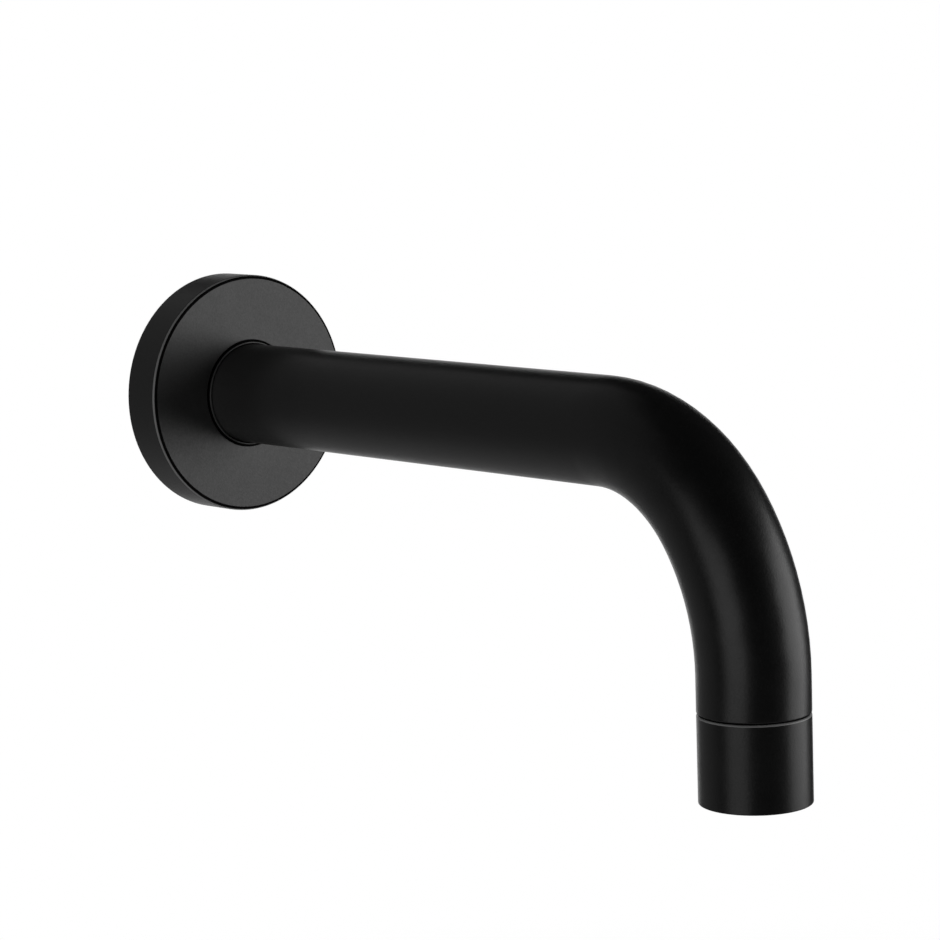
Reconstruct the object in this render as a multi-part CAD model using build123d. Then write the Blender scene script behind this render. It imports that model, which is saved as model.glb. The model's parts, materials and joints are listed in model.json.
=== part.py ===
from build123d import *
import math
import os

# Wall-mounted bath spout in millimetres. The wall is the plane y = 0, the spout stands out
# along -Y and turns down at its end. The origin is on the tube's axis, in the wall plane.

# Spout tube
reach = 185.0  # wall to the axis of the outlet
tube_d = 25.0
tube_wall = 1.5
bend_radius = 41.0  # of the tube's centre line, where the bend starts
bend_turn = 54.0  # degrees that are bent at that radius
bend_end_radius = 55.5  # of the rest of the bend
leg_length = 8.1  # straight stretch from the bend to the tube's lower end
tube_end_edge = 0.2  # rounding of the lower end's outer edge

# Wall flange, a turned cup with a hub around the tube
flange_d = 60.0
flange_depth = 11.0
flange_rim_wall = 1.6
flange_face_wall = 2.0
flange_front_edge = 1.0  # rounding where the rim meets the front face
flange_inner_edge = 1.2  # rounding inside the cup
hub_wall = 3.6
hub_setback = 3.0  # from the wall plane to the hub's back end
flange_gap = 0.2  # between the hub and the tube
lip_width = 0.4  # fine ring around the hole, set off by a groove in the front face
lip_rise = 0.7  # how far the ring stands out of the front face
lip_edge = 0.15  # rounding of the lip
lip_groove_width = 0.5
lip_groove_depth = 0.6
lip_groove_edge = 0.15  # rounding where the front face meets the groove
flange_cord = 2.0  # cord diameter of the ring that grips the tube
flange_seal_inset = 4.0  # from the front face to the ring's middle

# Wall nipple, screwed into the wall fitting
thread_d = 20.955  # G 1/2 outside thread
thread_length = 13.0
thread_lead = 1.0  # chamfer at the thread's end
shoulder_step = 0.5  # the shoulder's edge lies this far inside the tube's surface
shoulder_length = 2.0
key_wall = 0.91  # between the hexagon socket's corners and the ring grooves
key_depth = 14.0
waterway_step = 0.5  # from the socket's flats in to the waterway
spigot_tail = 5.0  # from the last ring to the spigot's end
spigot_chamfer = 1.0
spigot_cord = 1.5  # cord diameter of the two sealing rings
seal_offset = 6.0  # from the set screw to the first ring
seal_pitch = 4.5
lock_floor = 2.8  # width of the locking groove's floor
lock_depth = 1.0

# Inlet sleeve, brazed into the tube's wall end
sleeve_wall = 1.55
sleeve_tail = 2.0  # how far it reaches past the spigot's end
sleeve_lead = 0.8  # chamfer that guides the rings in

# Set screw under the tube, in front of the flange
screw_d = 5.0
screw_offset = 6.0  # from the flange's front face to the screw's axis
screw_recess = 0.4  # below the tube's surface
screw_tip_d = 2.0
screw_socket_across = 2.5
screw_socket_depth = 1.8

# Outlet collar, screwed into the tube's lower end
collar_length = 20.0
seam_height = 0.4  # fine groove between tube and collar
seam_depth = 0.5
collar_top_edge = 0.4
collar_mouth_edge = 0.25
collar_wall = 1.7  # around the aerator
collar_thread_depth = 0.5  # how far the thread is cut into the tube's wall
collar_thread_length = 4.0
pilot_length = 3.8
pilot_cord = 1.2
throat_wall = 1.24  # behind the ring groove
thread_runout = 0.5

# Aerator, a cartridge screwed up into the collar
aerator_recess = 1.2  # from the collar's mouth to the cartridge
housing_height = 9.0
housing_wall = 1.85
ledge_width = 0.6
ledge_height = 0.8
notch_count = 6  # slots for the fitting key
notch_width = 2.2
notch_depth = 1.0
notch_length = 1.6  # from the ledge's inner edge outwards
grid_height = 3.0
grid_rim = 0.6
cell_across = 1.9
cell_web = 0.4
jet_plate_wall = 1.2
jet_skirt_height = 1.0
jet_skirt_wall = 0.9
jet_hole_d = 1.0
jet_hole_pitch = 2.4
strainer_flange = 0.6
strainer_flange_width = 2.2
strainer_wall = 0.7
strainer_rise = 3.5
strainer_taper = 1.0
strainer_slot_width = 0.8
strainer_slot_count = 16
seal_thickness = 1.7
seal_width = 1.8

# Fits
seal_gap = 0.03  # each side of a sealing ring
groove_room = 0.5  # how much wider a ring's groove is than its cord
braze_gap = 0.05
spigot_gap = 0.1
thread_gap = 0.05
cartridge_gap = 0.05  # between the pieces inside the aerator
screw_gap = 0.05
overcut = 1.0  # how far a cutter runs past the face that it opens

# Radii and places that follow from the sizes above. "out" is the distance from the wall.
tube_r = tube_d / 2
tube_bore_r = tube_r - tube_wall
turn = math.radians(bend_turn)
bend_width = bend_radius * math.sin(turn) + bend_end_radius * (1 - math.sin(turn))
bend_height = bend_radius * (1 - math.cos(turn)) + bend_end_radius * math.cos(turn)
bend_out = reach - bend_width
tube_end_z = -(bend_height + leg_length)
mouth_z = tube_end_z - collar_length

flange_hole_r = tube_r + flange_gap
lip_r = flange_hole_r + lip_width
lip_groove_r = lip_r + lip_groove_width
flange_groove_r = tube_r + flange_cord + 2 * seal_gap
flange_seal_out = flange_depth - flange_seal_inset
hub_r = flange_hole_r + hub_wall

sleeve_r = tube_bore_r - braze_gap
sleeve_bore_r = sleeve_r - sleeve_wall
spigot_r = sleeve_bore_r - spigot_gap
spigot_root_r = sleeve_bore_r - 2 * seal_gap - spigot_cord
lock_root_r = spigot_r - lock_depth
key_across = 2 * (spigot_root_r - key_wall) * math.cos(math.pi / 6)
waterway_r = key_across / 2 - waterway_step
shoulder_r = tube_r - shoulder_step
screw_out = flange_depth + screw_offset
seal_outs = [screw_out + seal_offset, screw_out + seal_offset + seal_pitch]
spigot_end = seal_outs[-1] + spigot_tail
sleeve_end = spigot_end + sleeve_tail

collar_thread_r = tube_bore_r + collar_thread_depth
pilot_r = tube_bore_r - spigot_gap
pilot_root_r = tube_bore_r - 2 * seal_gap - pilot_cord
thread_top_z = tube_end_z + collar_thread_length
pilot_top_z = thread_top_z + pilot_length
pilot_seal_z = thread_top_z + thread_runout + (pilot_length - thread_runout) / 2
throat_r = pilot_root_r - throat_wall
aerator_bore_r = tube_r - collar_wall

housing_r = aerator_bore_r - thread_gap
housing_bore_r = housing_r - housing_wall
housing_z = mouth_z + aerator_recess
ledge_z = housing_z + ledge_height
housing_top_z = housing_z + housing_height
insert_r = housing_bore_r - cartridge_gap
jet_z = ledge_z + grid_height
strainer_z = housing_top_z + strainer_flange
seat_z = strainer_z + seal_thickness

wall_axis = Axis((0, 0, 0), (0, -1, 0))
outlet_axis = Axis((0, -reach, 0), (0, 0, 1))
wall_section = Plane(origin=(0, 0, 0), x_dir=(0, -1, 0), z_dir=(-1, 0, 0))
outlet_section = Plane(origin=(0, -reach, 0), x_dir=(1, 0, 0), z_dir=(0, -1, 0))


def outline(points, rounded=()):
    """A closed section; rounded holds (corner, radius) pairs."""
    face = make_face(Polyline(*points, close=True))
    for corner, radius in rounded:
        face = fillet(face.vertices().sort_by_distance((*corner, 0))[0], radius)
    return face


def turned_on_wall_axis(section):
    """A turned piece around the tube's straight run, drawn as (out, radius)."""
    return revolve(wall_section * section, axis=wall_axis)


def turned_on_outlet_axis(section):
    """A turned piece around the outlet, drawn as (radius, height)."""
    return revolve(outlet_section * section, axis=outlet_axis)


def groove(middle, width, bottom, top):
    """The section of a square ring groove on the wall axis."""
    low, high = middle - width / 2, middle + width / 2
    return outline([(low, bottom), (high, bottom), (high, top), (low, top)])


def at_outlet(x, y, z):
    return Location((x, y - reach, z))


def at_screw(height):
    """A place under the tube on the set screw's axis, looking down out of the tube."""
    return Location(Plane(origin=(0, -screw_out, -height), x_dir=(1, 0, 0), z_dir=(0, 0, -1)))


def ring_on_wall_axis(out, inner_r, cord):
    ring = Torus(inner_r + cord / 2, cord / 2)
    return Location((0, -out, 0), (90, 0, 0)) * ring


def screw_hole():
    """The tapped hole for the set screw, through the tube's lower wall and the sleeve."""
    depth = tube_r - spigot_r + 2 * overcut
    hole = Cylinder(screw_d / 2 + screw_gap, depth, align=(Align.CENTER, Align.CENTER, Align.MIN))
    return at_screw(spigot_r - overcut) * hole


def spout_tube():
    run = Line((shoulder_length, 0), (bend_out, 0))
    bend = JernArc(run @ 1, run % 1, bend_radius, -bend_turn)
    bend_end = JernArc(bend @ 1, bend % 1, bend_end_radius, bend_turn - 90)
    leg = Line(bend_end @ 1, (reach, tube_end_z))
    path = wall_section * Wire([run, bend, bend_end, leg])
    start = Plane(origin=path @ 0, z_dir=path % 0)
    tube = sweep(start * Circle(tube_r), path=path) - sweep(start * Circle(tube_bore_r), path=path)
    seat_r = collar_thread_r + thread_gap
    seat_depth = collar_thread_length + thread_runout
    seat = Cylinder(seat_r, seat_depth, align=(Align.CENTER, Align.CENTER, Align.MIN))
    tube -= at_outlet(0, 0, tube_end_z) * seat
    tube -= screw_hole()
    rim = tube.edges().filter_by(GeomType.CIRCLE).sort_by_distance((tube_r, -reach, tube_end_z))[0]
    return fillet(rim, tube_end_edge)


def inlet_sleeve():
    section = outline([
        (shoulder_length, sleeve_bore_r + sleeve_lead),
        (shoulder_length, sleeve_r),
        (sleeve_end, sleeve_r),
        (sleeve_end, sleeve_bore_r),
        (shoulder_length + sleeve_lead, sleeve_bore_r),
    ])
    return turned_on_wall_axis(section) - screw_hole()


def wall_nipple():
    thread_r = thread_d / 2
    section = outline([
        (-thread_length - thread_lead, waterway_r),
        (-thread_length - thread_lead, thread_r - thread_lead),
        (-thread_length, thread_r),
        (0, thread_r),
        (0, shoulder_r),
        (shoulder_length, shoulder_r),
        (shoulder_length, spigot_r),
        (spigot_end - spigot_chamfer, spigot_r),
        (spigot_end, spigot_r - spigot_chamfer),
        (spigot_end, waterway_r),
    ])
    for out in seal_outs:
        section -= groove(out, spigot_cord + groove_room, spigot_root_r, spigot_r + overcut)
    section -= outline([
        (screw_out - lock_floor / 2, lock_root_r),
        (screw_out + lock_floor / 2, lock_root_r),
        (screw_out + lock_floor / 2 + lock_depth, spigot_r),
        (screw_out - lock_floor / 2 - lock_depth, spigot_r),
    ])
    socket = RegularPolygon(key_across / 2, 6, major_radius=False)
    bottom = Plane(origin=(0, key_depth - spigot_end, 0), x_dir=(1, 0, 0), z_dir=(0, -1, 0))
    return turned_on_wall_axis(section) - extrude(bottom * socket, key_depth + overcut)


def nipple_o_ring(out):
    return ring_on_wall_axis(out, spigot_root_r + seal_gap, spigot_cord)


def set_screw():
    """A cone-pointed set screw, from its tip in the locking groove to its socket."""
    tip = lock_root_r + screw_gap
    length = tube_r - screw_recess - tip
    cone = (screw_d - screw_tip_d) / 2
    section = outline([
        (0, 0),
        (screw_tip_d / 2, 0),
        (screw_d / 2, cone),
        (screw_d / 2, length),
        (0, length),
    ])
    screw = revolve(Plane.XZ * section, axis=Axis.Z)
    socket = extrude(RegularPolygon(screw_socket_across / 2, 6, major_radius=False), screw_socket_depth)
    screw -= Location((0, 0, length - screw_socket_depth)) * socket
    return at_screw(tip) * screw


def wall_flange():
    rim_r = flange_d / 2
    groove_out = flange_depth - lip_groove_depth
    lip_out = flange_depth + lip_rise
    face_back = flange_depth - flange_face_wall
    cup_r = rim_r - flange_rim_wall
    section = outline(
        [
            (0, rim_r),
            (flange_depth, rim_r),
            (flange_depth, lip_groove_r),
            (groove_out, lip_groove_r),
            (groove_out, lip_r),
            (lip_out, lip_r),
            (lip_out, flange_hole_r),
            (hub_setback, flange_hole_r),
            (hub_setback, hub_r),
            (face_back, hub_r),
            (face_back, cup_r),
            (0, cup_r),
        ],
        [
            ((flange_depth, rim_r), flange_front_edge),
            ((flange_depth, lip_groove_r), lip_groove_edge),
            ((lip_out, lip_r), lip_edge),
            ((lip_out, flange_hole_r), lip_edge),
            ((face_back, hub_r), flange_inner_edge),
            ((face_back, cup_r), flange_inner_edge),
        ],
    )
    section -= groove(flange_seal_out, flange_cord + groove_room, tube_r, flange_groove_r)
    return turned_on_wall_axis(section)


def flange_o_ring():
    return ring_on_wall_axis(flange_seal_out, tube_r + seal_gap, flange_cord)


def outlet_collar():
    shoulder_z = tube_end_z - seam_height
    section = outline(
        [
            (throat_r, pilot_top_z),
            (pilot_r, pilot_top_z),
            (pilot_r, thread_top_z),
            (collar_thread_r, thread_top_z),
            (collar_thread_r, tube_end_z),
            (tube_r - seam_depth, tube_end_z),
            (tube_r - seam_depth, shoulder_z),
            (tube_r, shoulder_z),
            (tube_r, mouth_z),
            (aerator_bore_r, mouth_z),
            (aerator_bore_r, seat_z),
            (throat_r, seat_z),
        ],
        [
            ((tube_r, shoulder_z), collar_top_edge),
            ((tube_r, mouth_z), collar_mouth_edge),
            ((aerator_bore_r, mouth_z), collar_mouth_edge),
        ],
    )
    half = (pilot_cord + groove_room) / 2
    section -= outline([
        (pilot_root_r, pilot_seal_z - half),
        (pilot_r + overcut, pilot_seal_z - half),
        (pilot_r + overcut, pilot_seal_z + half),
        (pilot_root_r, pilot_seal_z + half),
    ])
    return turned_on_outlet_axis(section)


def collar_o_ring():
    ring = Torus(pilot_root_r + seal_gap + pilot_cord / 2, pilot_cord / 2)
    return at_outlet(0, 0, pilot_seal_z) * ring


def aerator_housing():
    ledge_r = housing_bore_r - ledge_width
    section = outline([
        (ledge_r, housing_z),
        (housing_r, housing_z),
        (housing_r, housing_top_z),
        (housing_bore_r, housing_top_z),
        (housing_bore_r, ledge_z),
        (ledge_r, ledge_z),
    ])
    housing = turned_on_outlet_axis(section)
    notch = Box(notch_length * 2, notch_width, notch_depth * 2)
    for place in PolarLocations(ledge_r, notch_count):
        housing -= at_outlet(0, 0, housing_z) * place * notch
    return housing


def aerator_grid():
    """Honeycomb outlet: every whole cell that fits inside the rim is cut through."""
    pitch = cell_across + cell_web
    cell_r = cell_across / math.sqrt(3)
    cell = RegularPolygon(cell_across / 2, 6, major_radius=False, rotation=30)
    room = insert_r - grid_rim - cell_r
    rings = int(room / pitch) + 1
    plate = Circle(insert_r)
    for a in range(-rings, rings + 1):
        for b in range(-rings, rings + 1):
            x = pitch * (a + b / 2)
            y = pitch * b * math.sqrt(3) / 2
            if math.hypot(x, y) <= room:
                plate -= Location((x, y, 0)) * cell
    return at_outlet(0, 0, ledge_z) * extrude(plate, grid_height)


def aerator_jet_plate():
    """Perforated plate that splits the water into jets, standing on the grid by its skirt."""
    skirt_r = insert_r - jet_skirt_wall
    low, high = jet_z + jet_skirt_height, jet_z + jet_skirt_height + jet_plate_wall
    section = outline([
        (0, high),
        (insert_r, high),
        (insert_r, jet_z),
        (skirt_r, jet_z),
        (skirt_r, low),
        (0, low),
    ])
    plate = turned_on_outlet_axis(section)
    hole = Cylinder(jet_hole_d / 2, 2 * (jet_plate_wall + overcut))
    for row_r in (skirt_r - jet_hole_d, skirt_r - jet_hole_d - jet_hole_pitch):
        count = int(2 * math.pi * row_r / jet_hole_pitch)
        for place in PolarLocations(row_r, count):
            plate -= at_outlet(0, 0, low) * place * hole
    return plate


def aerator_strainer():
    """Slotted cone on the cartridge's top that keeps grit out."""
    flange_r = housing_bore_r + strainer_flange_width / 2
    foot_r = flange_r - strainer_flange_width
    top_z = strainer_z + strainer_rise
    top_r = foot_r - strainer_taper
    section = outline([
        (0, top_z),
        (top_r, top_z),
        (foot_r, strainer_z),
        (flange_r, strainer_z),
        (flange_r, housing_top_z),
        (foot_r - strainer_wall, housing_top_z),
        (top_r - strainer_wall, top_z - strainer_wall),
        (0, top_z - strainer_wall),
    ])
    strainer = turned_on_outlet_axis(section)
    slot_height = strainer_rise - 2 * strainer_wall
    slot = Box(foot_r, strainer_slot_width, slot_height, align=(Align.MIN, Align.CENTER, Align.MIN))
    for place in PolarLocations(top_r - strainer_wall - overcut, strainer_slot_count):
        strainer -= at_outlet(0, 0, strainer_z + strainer_wall / 2) * place * slot
    return strainer


def aerator_seal():
    """Flat rubber washer between the cartridge and its seat in the collar."""
    outer_r = housing_r - cartridge_gap
    section = outline([
        (outer_r - seal_width, strainer_z),
        (outer_r, strainer_z),
        (outer_r, seat_z),
        (outer_r - seal_width, seat_z),
    ])
    return turned_on_outlet_axis(section)


pieces = {
    "spout_tube": spout_tube(),
    "inlet_sleeve": inlet_sleeve(),
    "wall_nipple": wall_nipple(),
    "set_screw": set_screw(),
    "wall_flange": wall_flange(),
    "flange_o_ring": flange_o_ring(),
    "outlet_collar": outlet_collar(),
    "collar_o_ring": collar_o_ring(),
    "aerator_housing": aerator_housing(),
    "aerator_grid": aerator_grid(),
    "aerator_jet_plate": aerator_jet_plate(),
    "aerator_strainer": aerator_strainer(),
    "aerator_seal": aerator_seal(),
}
for number, out in enumerate(seal_outs, 1):
    pieces[f"nipple_o_ring_{number}"] = nipple_o_ring(out)

os.makedirs("parts", exist_ok=True)
for name, piece in pieces.items():
    export_step(piece, f"parts/{name}.step")
    print(name, round(piece.volume, 1))
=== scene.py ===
import json
import math

import bmesh
import bpy
from mathutils import Matrix, Vector


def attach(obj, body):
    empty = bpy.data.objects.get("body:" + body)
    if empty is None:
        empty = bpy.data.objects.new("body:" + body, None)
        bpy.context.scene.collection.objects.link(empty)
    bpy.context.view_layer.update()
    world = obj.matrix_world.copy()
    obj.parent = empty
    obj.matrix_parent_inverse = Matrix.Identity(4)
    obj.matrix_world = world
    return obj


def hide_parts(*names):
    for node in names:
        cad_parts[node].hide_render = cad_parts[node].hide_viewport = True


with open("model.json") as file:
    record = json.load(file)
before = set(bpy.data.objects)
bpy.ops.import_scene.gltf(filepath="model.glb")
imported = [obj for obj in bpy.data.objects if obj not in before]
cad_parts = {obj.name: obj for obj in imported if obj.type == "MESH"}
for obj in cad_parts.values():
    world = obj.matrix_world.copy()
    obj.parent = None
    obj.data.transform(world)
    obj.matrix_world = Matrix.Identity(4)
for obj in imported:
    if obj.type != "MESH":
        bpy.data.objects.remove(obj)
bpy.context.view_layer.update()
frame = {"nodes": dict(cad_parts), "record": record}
nodes = frame["nodes"]
print("frame loaded:", len(nodes), "nodes")


class Wire:  # a socket in a node tree; expressions on it add Math nodes
    def __init__(self, tree, socket=None):
        self.tree, self.socket = tree, socket

    def add(self, kind, settings=None, inputs=None, output=0):
        node = self.tree.nodes.new(kind)
        for key, value in (settings or {}).items():
            setattr(node, key, value)
        for key, value in (inputs or {}).items():
            if isinstance(value, Wire):
                self.tree.links.new(value.socket, node.inputs[key])
            else:
                node.inputs[key].default_value = value
        return Wire(self.tree, node.outputs[output] if node.outputs else None)

    def maths(self, operation, a, b):
        return self.add("ShaderNodeMath", {"operation": operation}, {0: a, 1: b})

    def __add__(self, other):
        return self.maths("ADD", self, other)

    def __sub__(self, other):
        return self.maths("SUBTRACT", self, other)

    def __rsub__(self, other):
        return self.maths("SUBTRACT", other, self)

    def __mul__(self, other):
        return self.maths("MULTIPLY", self, other)

    def __pow__(self, other):
        return self.maths("POWER", self, other)

    def __gt__(self, other):
        return self.maths("GREATER_THAN", self, other)

    def __lt__(self, other):
        return self.maths("LESS_THAN", self, other)

    __radd__ = __add__
    __rmul__ = __mul__


def newMaterial(name):
    material = bpy.data.materials.new(name)
    material.use_nodes = True
    material.node_tree.nodes.clear()
    return material, Wire(material.node_tree)


def surface(wire, shader):
    wire.add("ShaderNodeOutputMaterial", inputs={"Surface": shader})


def objectPlace(wire):
    return wire.add("ShaderNodeTexCoord", output="Object")


def axesOf(wire, place):
    split = wire.add("ShaderNodeSeparateXYZ", inputs={0: place})
    return [Wire(wire.tree, socket) for socket in split.socket.node.outputs]


def noise(wire, place, scale, detail, roughness=0.5):
    inputs = {"Vector": place, "Scale": scale, "Detail": detail, "Roughness": roughness}
    return wire.add("ShaderNodeTexNoise", {"noise_dimensions": "3D"}, inputs)


def ramp(wire, value, start, end, low=0.0, high=1.0, kind="LINEAR"):
    inputs = {"Value": value, "From Min": start, "From Max": end, "To Min": low, "To Max": high}
    return wire.add("ShaderNodeMapRange", {"interpolation_type": kind}, inputs)


def blend(wire, share, low, high):  # low and high are colours, or wires that carry one
    low, high = (end if isinstance(end, Wire) else (*end, 1) for end in (low, high))
    return wire.add("ShaderNodeMix", {"data_type": "RGBA"}, {0: share, 6: low, 7: high}, 2)


def bumpOf(wire, height, depth):
    inputs = {"Height": height, "Distance": depth, "Strength": 1.0}
    return wire.add("ShaderNodeBump", inputs=inputs)


def swing(value, width):  # a noise value lies about 0.5
    return (value - 0.5) * width


def fromAxis(a, b):
    return (a * a + b * b) ** 0.5


def within(value, low, high):
    return (value > low) * (value < high)


def grey(shade):
    return shade, shade, shade, 1


coat = {
    "dark": (0.0040, 0.0040, 0.0041),
    "light": (0.0082, 0.0082, 0.0083),
    "mottle": {"scale": 140.0, "detail": 3.0},  # patches of about 7 mm
    "mottleShare": 0.6,
    "grain": {"scale": 2400.0, "detail": 2.0, "roughness": 0.55},  # spray grain of about 0.4 mm
    "grainShare": 0.4,
    "grainHeight": 0.000020,
    "paintedLight": (0.046, 0.046, 0.046),  # painted light: a paler coat on the flange's face and the foot of the tube
    "paintedLightFoot": 0.85,  # how much of it lies on the foot
    "paintedLightSpan": (0.0117, 0.042),  # where it fades, out from the wall
    "paintedShadeDrop": (-0.0115, -0.0085),  # height where it ends under the tube, as painted shade
    "paintedLightGrain": 0.6,  # how far the grain shows through it
    "gloss": 0.3,
    "roughness": 0.34,
    "mottleRoughness": 0.07,
    "grainRoughness": 0.2,
    "flangeRoughness": 0.03,  # added on the flange
    "backRoughness": 0.16,  # added on the faces that the wall hides
    "paintedShade": (0.002, 0.002, 0.002),  # painted shade: a dark, matt finish in grooves and along the flange's front edge
    "paintedShadeGloss": 0.04,
    "paintedShadeRoughness": 0.8,
    "paintedHighlight": (0.23, 0.23, 0.23),  # painted highlight: pale lines along the collar's top edge, the flange's front edge and the ring round its hole
    "paintedHighlightLip": 0.2,  # less of the painted highlight on the ring around the flange's hole
    "outlet": 0.185,  # from the wall to the outlet's axis
}
flangeRings = {  # from and to, distance from the tube's axis, then out from the wall
    "flange": ((0.0128, 0.0310), (-0.0010, 0.0120)),
    "face": ((0.0128, 0.02905), (0.0109, 0.0111)),
    "foot": ((0.0120, 0.0127), (0.0, 0.0420)),
    "behind": ((0.0, 0.0283), (-0.0010, 0.0092)),
    "rimShade": ((0.02905, 0.02964), (0.0107, 0.0112)),
    "rimLight": ((0.0297, 0.0301), (0.0102, 0.01067)),
    "lipShade": ((0.01308, 0.01362), (0.0103, 0.0113)),
    "lipLight": ((0.01262, 0.01315), (0.0113, 0.0119)),
}
collarRings = {  # from and to, distance from the outlet's axis, then height
    "seamShade": ((0.0, 0.0124), (-0.05802, -0.0576)),
    "seamLight": ((0.0121, 0.0126), (-0.05842, -0.0579)),
}


def matteBlackCoat():
    material, wire = newMaterial("matteBlackCoat")
    place = objectPlace(wire)
    x, y, z = axesOf(wire, place)
    radius, out, fromOutlet = fromAxis(x, z), y * -1, fromAxis(x, y + coat["outlet"])
    ring = {}
    for name, (across, along) in flangeRings.items():
        ring[name] = within(radius, *across) * within(out, *along)
    for name, (across, along) in collarRings.items():
        ring[name] = within(fromOutlet, *across) * within(z, *along)
    mottle = noise(wire, place, **coat["mottle"])
    grain = noise(wire, place, **coat["grain"])
    # painted light on the flange's face and the tube's foot, fading out from the wall
    fade = ramp(wire, out, *coat["paintedLightSpan"], low=coat["paintedLightFoot"], high=0.0)
    # painted shade under the tube near the flange: the painted light and the lip's painted
    # highlight end there
    upper = ramp(wire, z, *coat["paintedShadeDrop"])
    paintedLight = (ring["face"] + ring["foot"] * fade * upper) * (1 - grain * coat["paintedLightGrain"])
    # painted highlight along the lip, the flange's rim and the collar's top edge
    lip = ring["lipLight"] * upper * coat["paintedHighlightLip"]
    paintedHighlight = ring["seamLight"] + ring["rimLight"] + lip
    shares = mottle * coat["mottleShare"] + grain * coat["grainShare"]
    colour = blend(wire, shares, coat["dark"], coat["light"])
    colour = blend(wire, paintedLight, colour, coat["paintedLight"])
    colour = blend(wire, paintedHighlight, colour, coat["paintedHighlight"])
    sprayRoughness = swing(mottle, coat["mottleRoughness"]) + swing(grain, coat["grainRoughness"])
    added = ring["flange"] * coat["flangeRoughness"] + ring["behind"] * coat["backRoughness"]
    bump = bumpOf(wire, grain, coat["grainHeight"])
    sprayed = wire.add("ShaderNodeBsdfPrincipled", inputs={
        "Base Color": colour,
        "Roughness": sprayRoughness + coat["roughness"] + added,
        "Normal": bump,
        "Specular IOR Level": coat["gloss"],
    })
    # painted shade: the dark, matt finish mixed into the grooves and onto the flange's front edge
    paintedShade = wire.add("ShaderNodeBsdfPrincipled", inputs={
        "Base Color": (*coat["paintedShade"], 1),
        "Roughness": coat["paintedShadeRoughness"],
        "Normal": bump,
        "Specular IOR Level": coat["paintedShadeGloss"],
    })
    # where the painted shade goes
    shade = ring["rimShade"] + ring["lipShade"] + ring["seamShade"]
    surface(wire, wire.add("ShaderNodeMixShader", inputs={0: shade, 1: sprayed, 2: paintedShade}))
    return material


turnedBrass = {
    "pale": (0.74, 0.56, 0.26),
    "deep": (0.55, 0.38, 0.15),
    "tarnish": {"scale": 220.0, "detail": 4.0},
    "tarnishShare": 0.7,
    "rings": {"scale": 5200.0, "detail": 1.0},  # tool marks, about 0.2 mm apart
    "ringShare": 0.2,
    "ringHeight": 0.000010,
    "roughness": 0.15,  # where tarnish and tool marks add none
    "tarnishRoughness": 0.14,
    "ringRoughness": 0.10,
}


def brassFromTheLathe():
    material, wire = newMaterial("brassFromTheLathe")
    brass = turnedBrass
    place = objectPlace(wire)
    x, y, z = axesOf(wire, place)
    lathe = wire.add("ShaderNodeCombineXYZ", inputs={0: y, 1: fromAxis(x, z), 2: 0.0})
    rings = noise(wire, lathe, **brass["rings"])
    tarnish = noise(wire, place, **brass["tarnish"])
    shares = tarnish * brass["tarnishShare"] + rings * brass["ringShare"]
    added = tarnish * brass["tarnishRoughness"] + rings * brass["ringRoughness"]
    surface(wire, wire.add("ShaderNodeBsdfPrincipled", inputs={
        "Base Color": blend(wire, shares, brass["pale"], brass["deep"]),
        "Roughness": added + brass["roughness"],
        "Normal": bumpOf(wire, rings, brass["ringHeight"]),
        "Metallic": 1.0,
    }))
    return material


sealRubber = {
    "dark": (0.012, 0.012, 0.013),
    "light": (0.03, 0.03, 0.031),
    "cloud": {"scale": 900.0, "detail": 3.0},  # bloom of about 1 mm
    "fine": {"scale": 7000.0, "detail": 2.0},
    "fineHeight": 0.000008,
    "roughness": 0.62,
    "cloudRoughness": 0.2,
    "metallic": 0.0,
}
cartridgePlastic = {
    "dark": (0.50, 0.51, 0.51),
    "light": (0.60, 0.61, 0.61),
    "cloud": {"scale": 300.0, "detail": 3.0},  # flow marks of about 3 mm
    "fine": {"scale": 5000.0, "detail": 2.0},
    "fineHeight": 0.000006,
    "roughness": 0.42,
    "cloudRoughness": 0.12,
    "metallic": 0.0,
}
screwSteel = {
    "dark": (0.42, 0.42, 0.43),
    "light": (0.60, 0.60, 0.60),
    "cloud": {"scale": 2600.0, "detail": 3.0},  # tumbled marks of about 0.4 mm, also in relief
    "fine": {"scale": 2600.0, "detail": 3.0},
    "fineHeight": 0.000006,
    "roughness": 0.30,
    "cloudRoughness": 0.14,
    "metallic": 1.0,
}


def cloudedFinish(name, finish):
    material, wire = newMaterial(name)
    place = objectPlace(wire)
    cloud = noise(wire, place, **finish["cloud"])
    fine = noise(wire, place, **finish["fine"])
    surface(wire, wire.add("ShaderNodeBsdfPrincipled", inputs={
        "Base Color": blend(wire, cloud, finish["dark"], finish["light"]),
        "Roughness": swing(cloud, finish["cloudRoughness"]) + finish["roughness"],
        "Normal": bumpOf(wire, fine, finish["fineHeight"]),
        "Metallic": finish["metallic"],
    }))
    return material


finishes = {
    "matte_black": matteBlackCoat(),
    "brass": brassFromTheLathe(),
    "rubber": cloudedFinish("mouldedRubber", sealRubber),
    "aerator_plastic": cloudedFinish("mouldedPlastic", cartridgePlastic),
    "stainless": cloudedFinish("plainSteel", screwSteel),
}
for row in frame["record"]["subparts"]:
    mesh = nodes[row["node"]].data
    mesh.materials.clear()
    mesh.materials.append(finishes[row["material_slot"]])
print("finishes:", ", ".join(finishes))


def makeObject(name, bm, material):
    mesh = bpy.data.meshes.new(name)
    bm.to_mesh(mesh)
    bm.free()
    mesh.materials.append(material)
    made = bpy.data.objects.new(name, mesh)
    bpy.context.scene.collection.objects.link(made)
    return made


def addPiece(name, bm, slot, node):
    piece = makeObject(name, bm, finishes[slot])
    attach(piece, "root")
    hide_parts(node)
    print(name, "for", node, "with", len(piece.data.polygons), "faces")
    return piece


def shadeSmooth(bm, crease, rounded=frozenset()):  # sharp over the crease, but not among rounded
    for face in bm.faces:
        face.smooth = True
    for edge in bm.edges:
        gentle = edge.calc_face_angle(0.0) < math.radians(crease)
        edge.smooth = gentle or rounded.issuperset(edge.verts)


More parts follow.
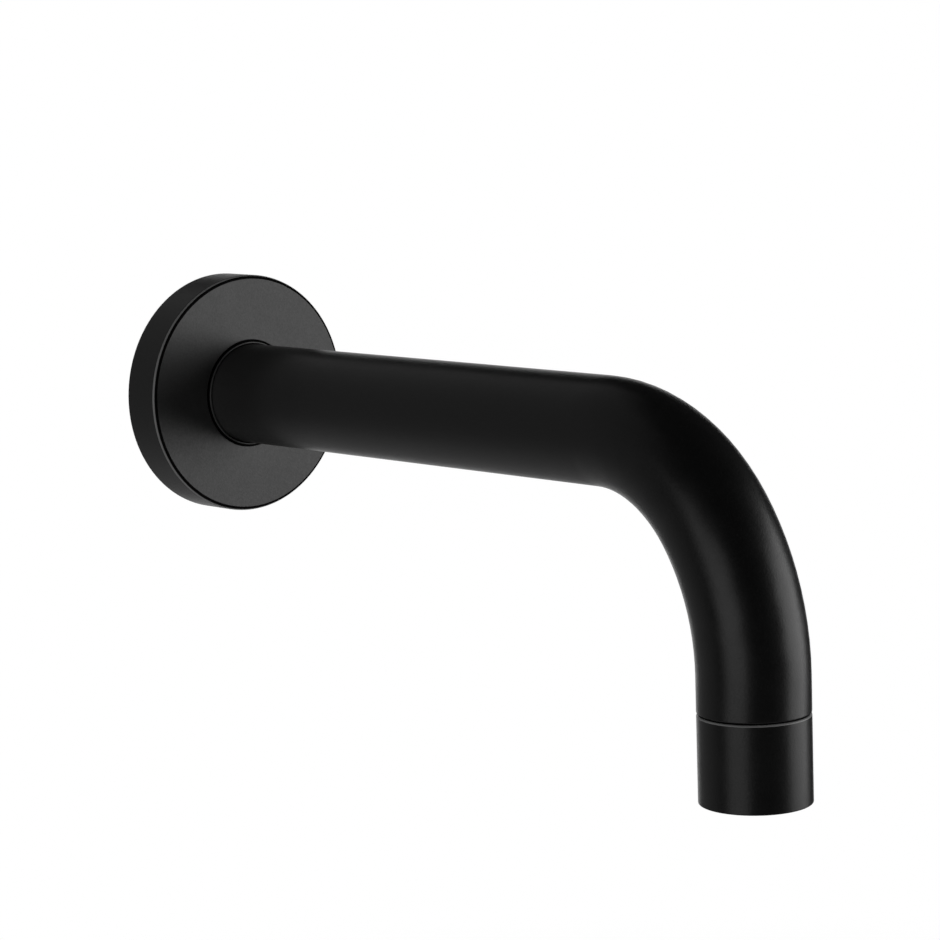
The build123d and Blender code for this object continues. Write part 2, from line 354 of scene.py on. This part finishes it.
nipple = {  # in millimetres, measured out from the wall
    "threadEnd": -14.0,
    "threadRadius": 10.4775,
    "lead": 1.0,
    "pitch": 1.814,
    "threadDepth": 1.162,
    "crestRound": 0.249,
    "flank": 27.5,
    "runOut": 1.6,  # the thread fades in behind the shoulder
    "shoulderRadius": 12.0,
    "shoulderEnd": 2.0,
    "shoulderEdge": 0.2,
    "edgeSegments": 2,
    "spigotRadius": 9.3,
    "spigotEnd": 32.5,
    "spigotLead": 1.0,
    "lockMiddle": 17.0,
    "lockFloor": 2.8,
    "lockDepth": 1.0,
    "ringMiddles": (23.0, 27.5),
    "ringWidth": 2.0,
    "ringFloor": 7.84,
    "socketFlat": 6.0015,
    "socketDepth": 14.0,
    "waterway": 5.5015,
    "rowsPerPitch": 14,
    "steps": 120,
    "merge": 0.0001,
    "tolerance": 0.001,
    "crease": 30.0,  # in degrees
    "sortAlong": (1.0, 7.31, 0.137),  # slanted, so that no two faces tie
    "metres": 0.001,
}


def nippleOutline():  # corners of half the section: out from the wall, then radius
    n = nipple
    yield n["threadEnd"], n["waterway"]
    yield n["threadEnd"], n["threadRadius"]
    yield 0.0, n["threadRadius"]
    yield 0.0, n["shoulderRadius"]
    yield n["shoulderEnd"], n["shoulderRadius"]
    yield n["shoulderEnd"], n["spigotRadius"]
    for side in (-1, 1):  # the two walls of the locking groove
        floor = (n["lockMiddle"] + side * n["lockFloor"] / 2, n["spigotRadius"] - n["lockDepth"])
        rim = (floor[0] + side * n["lockDepth"], n["spigotRadius"])
        yield from (rim, floor)[::-side]
    for middle in n["ringMiddles"]:
        start, end = middle - n["ringWidth"] / 2, middle + n["ringWidth"] / 2
        yield start, n["spigotRadius"]
        yield start, n["ringFloor"]
        yield end, n["ringFloor"]
        yield end, n["spigotRadius"]
    yield n["spigotEnd"] - n["spigotLead"], n["spigotRadius"]
    yield n["spigotEnd"], n["spigotRadius"] - n["spigotLead"]
    yield n["spigotEnd"], n["socketFlat"]
    yield n["spigotEnd"] - n["socketDepth"], n["socketFlat"]
    yield n["spigotEnd"] - n["socketDepth"], n["waterway"]


def belowCrest(away):  # depth of the rounded thread at a distance along the axis from a crest
    quarter = nipple["pitch"] / 4
    if away > quarter:
        return nipple["threadDepth"] - belowCrest(2 * quarter - away)
    crest, flank = nipple["crestRound"], math.radians(nipple["flank"])
    edge = crest * math.cos(flank)
    if away < edge:
        return crest - math.sqrt(crest**2 - away**2)
    return crest * (1 - math.sin(flank)) + (away - edge) / math.tan(flank)


def setRadius(vert, radius):
    angle = math.atan2(vert.co.z, vert.co.x)
    vert.co.x, vert.co.z = radius * math.cos(angle), radius * math.sin(angle)


def vertsAt(bm, radius):
    near = nipple["tolerance"]
    return [vert for vert in bm.verts if abs(math.hypot(vert.co.x, vert.co.z) - radius) < near]


def cutThread(verts):
    for vert in verts:
        turn = vert.co.y / nipple["pitch"] + math.atan2(vert.co.z, vert.co.x) / math.tau
        away = abs(turn - round(turn)) * nipple["pitch"]
        fade = min(1.0, vert.co.y / nipple["runOut"])
        chamfer = nipple["threadRadius"] - nipple["lead"] - nipple["threadEnd"] - vert.co.y
        setRadius(vert, min(nipple["threadRadius"] - belowCrest(away) * fade, chamfer))


def sinkSocket(verts):
    sixth = math.tau / 6
    for vert in verts:
        fromFlat = math.atan2(vert.co.z, vert.co.x) % sixth - sixth / 2
        setRadius(vert, nipple["socketFlat"] / math.cos(fromFlat))


def turnNipple():
    bm = bmesh.new()
    corners = [bm.verts.new((radius, -out, 0.0)) for out, radius in nippleOutline()]
    edges = [bm.edges.new(pair) for pair in zip(corners, corners[1:] + corners[:1])]
    rows = round(-nipple["threadEnd"] / nipple["pitch"] * nipple["rowsPerPitch"])
    bmesh.ops.subdivide_edges(bm, edges=[edges[1]], cuts=rows)  # the edge that takes the thread
    bmesh.ops.bevel(  # in the outline, because a bevel of the turned rim has no fixed order
        bm, geom=vertsAt(bm, nipple["shoulderRadius"]), offset=nipple["shoulderEdge"],
        offset_type="OFFSET", segments=nipple["edgeSegments"], profile=0.5, affect="VERTICES",
        material=-1,
    )
    bmesh.ops.spin(
        bm, geom=bm.verts[:] + bm.edges[:], cent=(0, 0, 0), axis=(0, 1, 0), angle=math.tau,
        steps=nipple["steps"], use_merge=True,
    )
    bmesh.ops.remove_doubles(bm, verts=bm.verts, dist=nipple["merge"])
    thread = vertsAt(bm, nipple["threadRadius"])
    socket = vertsAt(bm, nipple["socketFlat"])
    cutThread(thread)
    sinkSocket(socket)
    bmesh.ops.recalc_face_normals(bm, faces=bm.faces)
    shadeSmooth(bm, nipple["crease"], set(thread))
    slant = Vector(nipple["sortAlong"])
    bm.faces.sort(key=lambda face: face.calc_center_median().dot(slant))  # same order each run
    bmesh.ops.scale(bm, verts=bm.verts, vec=[nipple["metres"]] * 3)
    return bm


addPiece("threadedNipple", turnNipple(), "brass", "wall_nipple")


tube = {
    "merge": 0.000001,
    "crease": 30.0,  # in degrees
}


def joinTube():  # the solid's patches joined, so that highlights run on over the bend
    patches = nodes["spout_tube"].data.copy()
    patchNormals = patches.attributes.get("custom_normal")
    if patchNormals:
        patches.attributes.remove(patchNormals)
    bm = bmesh.new()
    bm.from_mesh(patches)
    bpy.data.meshes.remove(patches)
    bmesh.ops.remove_doubles(bm, verts=bm.verts, dist=tube["merge"])
    shadeSmooth(bm, tube["crease"])
    return bm


joined = addPiece("joinedTube", joinTube(), "matte_black", "spout_tube")
even = joined.modifiers.new("evenNormals", "WEIGHTED_NORMAL")
even.mode, even.keep_sharp = "FACE_AREA", True


def facing(azimuth, elevation):  # from the spout towards a place around it
    a, e = math.radians(azimuth), math.radians(elevation)
    return Vector((math.sin(a) * math.cos(e), -math.cos(a) * math.cos(e), math.sin(e)))


photoCamera = {
    "pixels": 940,
    "azimuth": -41.225,
    "elevation": 8.040,
    "roll": -1.883,
    "focal": 3114.512,  # in pixels
    "distance": 0.736105,
    "target": (0.0, -0.0905, -0.020),
    "targetPixel": (459.044, 498.883),
    "sensor": 36.0,
}


def placeCamera(view):
    a, r = math.radians(view["azimuth"]), math.radians(view["roll"])
    back = facing(view["azimuth"], view["elevation"])
    level = Vector((math.cos(a), math.sin(a), 0))
    plumb = back.cross(level)
    right = math.cos(r) * level + math.sin(r) * plumb
    up = math.cos(r) * plumb - math.sin(r) * level
    across, down = ((p - view["pixels"] / 2) / view["focal"] for p in view["targetPixel"])
    eye = Vector(view["target"]) - view["distance"] * (across * right - down * up - back)
    camera = bpy.data.objects.new("photoCamera", bpy.data.cameras.new("photoCamera"))
    camera.data.sensor_width = view["sensor"]
    camera.data.lens = view["focal"] * view["sensor"] / view["pixels"]
    camera.matrix_world = Matrix((right, up, back)).transposed().to_4x4()
    camera.location = eye
    bpy.context.scene.collection.objects.link(camera)
    bpy.context.scene.camera = camera


placeCamera(photoCamera)
bpy.context.scene.view_settings.view_transform = "Standard"
print("camera placed at", photoCamera["distance"], "m")


studio = {
    "centre": (0.0, -0.09, -0.02),
    "tentRadius": 3.2,
    "tentSegments": (72, 36),
    "tentShade": 0.22,
    "windowAngle": 25.0,  # half the cone that is left open behind the spout, seen from the spout
    "floorHeight": -0.9,
    "floorRadius": 2.7,
    "floorSegments": 96,
    "floorFade": 1.24,  # where the floor starts to fade into the background
    "floorShade": 0.82,
    "floorGlow": 0.18,  # in reflections
    "floorLift": 0.62,  # to the camera
    "ambient": 0.25,
}
softboxes = {
    "rightBox": {
        "azimuth": 49, "elevation": 3.5, "distance": 1.1, "size": (1.01, 0.83), "power": 8.0,
    },
    "leftBox": {
        "azimuth": -77, "elevation": 0, "distance": 1.2, "size": (0.9, 0.9), "power": 3.65,
    },
    "backBox": {
        "azimuth": -157, "elevation": 22, "distance": 1.8, "size": (3.0, 4.1), "power": 8.95,
    },
}


def stageObject(name, bm, material):
    thing = makeObject(name, bm, material)
    return thing


def raysOf(wire, *kinds):
    rays = wire.add("ShaderNodeLightPath").socket.node.outputs
    return [Wire(wire.tree, rays[f"Is {kind} Ray"]) for kind in kinds]


def layFloor():
    material, wire = newMaterial("paleFloor")
    x, y = axesOf(wire, objectPlace(wire))[:2]
    middle = Vector(studio["centre"])
    middle.z = studio["floorHeight"]
    away = fromAxis(x - middle.x, y - middle.y)
    fade = ramp(wire, away, studio["floorFade"], studio["floorRadius"], kind="SMOOTHSTEP")
    paint = wire.add("ShaderNodeBsdfDiffuse", inputs={"Color": grey(studio["floorShade"])})
    camera, glossy = raysOf(wire, "Camera", "Glossy")
    lift = camera * studio["floorLift"] + glossy * studio["floorGlow"]
    glow = wire.add("ShaderNodeEmission", inputs={"Strength": lift})
    pale = wire.add("ShaderNodeAddShader", inputs={0: paint, 1: glow})
    clear = wire.add("ShaderNodeBsdfTransparent")
    surface(wire, wire.add("ShaderNodeMixShader", inputs={0: fade, 1: pale, 2: clear}))
    bm = bmesh.new()
    bmesh.ops.create_circle(
        bm, cap_ends=True, segments=studio["floorSegments"], radius=studio["floorRadius"],
    )
    bmesh.ops.translate(bm, verts=bm.verts, vec=middle)
    stageObject("studioFloor", bm, material)


def hangTent():  # dark cloth all round, open behind the spout, and not seen by the camera
    material, wire = newMaterial("darkCloth")
    cloth = wire.add("ShaderNodeBsdfDiffuse", inputs={"Color": grey(studio["tentShade"])})
    surface(wire, cloth)
    bm = bmesh.new()
    around, upwards = studio["tentSegments"]
    bmesh.ops.create_uvsphere(
        bm, u_segments=around, v_segments=upwards, radius=studio["tentRadius"],
    )
    behind = -facing(photoCamera["azimuth"], photoCamera["elevation"])
    limit = math.radians(studio["windowAngle"])
    window = [face for face in bm.faces if face.calc_center_median().angle(behind) < limit]
    bmesh.ops.delete(bm, geom=window, context="FACES")
    bmesh.ops.translate(bm, verts=bm.verts, vec=studio["centre"])
    tent = stageObject("darkTent", bm, material)
    tent.visible_camera = False


def hangSoftbox(name, azimuth, elevation, distance, size, power):
    towards = facing(azimuth, elevation)
    lamp = bpy.data.lights.new(name, "AREA")
    lamp.shape = "RECTANGLE"
    lamp.size, lamp.size_y = size
    lamp.energy = power
    box = bpy.data.objects.new(name, lamp)
    box.location = Vector(studio["centre"]) + towards * distance
    box.rotation_euler = towards.to_track_quat("Z", "Y").to_euler()
    box.visible_camera = False
    bpy.context.scene.collection.objects.link(box)


def paintWorld():  # white to the camera and in reflections, dimmer as light on the spout
    world = bpy.data.worlds.new("whiteBackground")
    bpy.context.scene.world = world
    world.use_nodes = True
    world.node_tree.nodes.clear()
    wire = Wire(world.node_tree)
    camera, glossy, through = raysOf(wire, "Camera", "Glossy", "Transmission")
    seen = wire.maths("MAXIMUM", wire.maths("MAXIMUM", camera, glossy), through)
    strength = seen * (1 - studio["ambient"]) + studio["ambient"]
    sky = wire.add("ShaderNodeBackground", inputs={"Color": grey(1), "Strength": strength})
    wire.add("ShaderNodeOutputWorld", inputs={"Surface": sky})


layFloor()
hangTent()
for name, settings in softboxes.items():
    hangSoftbox(name, **settings)
paintWorld()
print("studio set:", ", ".join(softboxes))
